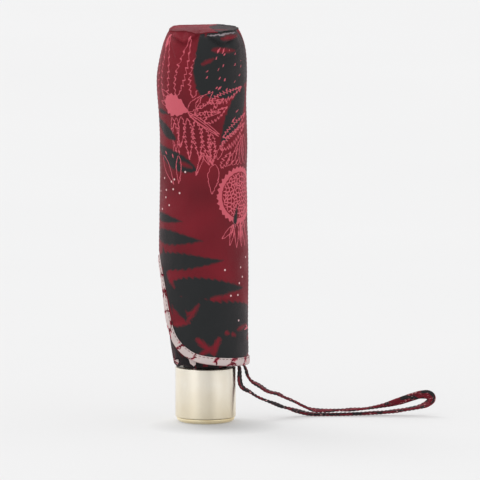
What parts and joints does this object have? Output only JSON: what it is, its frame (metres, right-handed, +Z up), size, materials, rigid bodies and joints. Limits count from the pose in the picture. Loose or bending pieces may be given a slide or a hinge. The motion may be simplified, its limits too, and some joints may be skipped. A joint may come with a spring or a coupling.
{
  "type": "folding umbrella",
  "caption": "Compact telescopic folding umbrella, furled in a printed fabric sleeve with a bound hem, standing on a polished metal handle with a looped wrist strap.",
  "frame": {"origin": "centre of the handle's foot, on the surface it stands on", "axes": "+Z up along the shaft from the handle to the crown, +X towards the side where the wrist strap leaves, +Y away from the front"},
  "size_m": [0.1677, 0.0556, 0.24],
  "materials": {
    "champagne_metal": "polished",
    "gold_metal": "polished",
    "black_plastic": "matte",
    "tip_plastic": "satin",
    "steel": "satin",
    "black_paint": "gloss",
    "chromed_tube": "polished",
    "rib_aluminium": "satin",
    "strap_fabric": "woven",
    "canopy_fabric": "woven",
    "hook_patch": "hook and loop",
    "sleeve_fabric": "woven, printed",
    "binding_fabric": "woven, printed"
  },
  "bodies": {
    "handle": {"handle_shell": "champagne_metal", "base_cap": "gold_metal", "handle_core": "black_plastic", "handle_collar": "black_plastic", "tube_pin": "steel", "strap_clip": "steel", "wrist_strap": "strap_fabric", "lower_tube": "black_paint"},
    "lower_catch": {"lower_catch": "steel"},
    "middle_stage": {"middle_tube": "chromed_tube"},
    "upper_catch": {"upper_catch": "steel"},
    "upper_stage": {"upper_tube": "black_paint", "crown": "black_plastic", "crown_wire": "steel", "crown_cap": "black_plastic", "runner": "black_plastic", "runner_wire": "steel", "top_rib_1": "black_paint", "top_rib_2": "black_paint", "top_rib_3": "black_paint", "top_rib_4": "black_paint", "top_rib_5": "black_paint", "top_rib_6": "black_paint", "top_rib_7": "black_paint", "top_rib_8": "black_paint", "stretcher_1": "rib_aluminium", "stretcher_2": "rib_aluminium", "stretcher_3": "rib_aluminium", "stretcher_4": "rib_aluminium", "stretcher_5": "rib_aluminium", "stretcher_6": "rib_aluminium", "stretcher_7": "rib_aluminium", "stretcher_8": "rib_aluminium", "middle_rib_1": "rib_aluminium", "middle_rib_2": "rib_aluminium", "middle_rib_3": "rib_aluminium", "middle_rib_4": "rib_aluminium", "middle_rib_5": "rib_aluminium", "middle_rib_6": "rib_aluminium", "middle_rib_7": "rib_aluminium", "middle_rib_8": "rib_aluminium", "outer_rib_1": "steel", "outer_rib_2": "steel", "outer_rib_3": "steel", "outer_rib_4": "steel", "outer_rib_5": "steel", "outer_rib_6": "steel", "outer_rib_7": "steel", "outer_rib_8": "steel", "rib_rivets": "steel", "rib_tips": "tip_plastic", "furled_canopy": "canopy_fabric", "closure_tie": "strap_fabric", "tie_patch": "hook_patch"},
    "open_catch": {"open_catch": "steel"},
    "sleeve": {"sleeve": "sleeve_fabric", "sleeve_binding": "binding_fabric"}
  },
  "joints": [
    {"name": "lower_stage_slide", "type": "slide", "parent": "handle", "child": "middle_stage", "axis": [0, 0, 1], "range_m": [0, 0.13]},
    {"name": "upper_stage_slide", "type": "slide", "parent": "middle_stage", "child": "upper_stage", "axis": [0, 0, 1], "range_m": [0, 0.15]},
    {"name": "sleeve_slide", "type": "slide", "parent": "upper_stage", "child": "sleeve", "axis": [0, 0, 1], "range_m": [0, 0.206]},
    {"name": "lower_catch_press", "type": "slide", "parent": "handle", "child": "lower_catch", "axis": [0, -1, 0], "range_m": [0, 0.0008], "stiffness_N_per_m": 800},
    {"name": "upper_catch_press", "type": "slide", "parent": "middle_stage", "child": "upper_catch", "axis": [0, -1, 0], "range_m": [0, 0.0008], "stiffness_N_per_m": 800},
    {"name": "open_catch_press", "type": "slide", "parent": "upper_stage", "child": "open_catch", "axis": [0, -1, 0], "range_m": [0, 0.0019], "stiffness_N_per_m": 800}
  ]
}
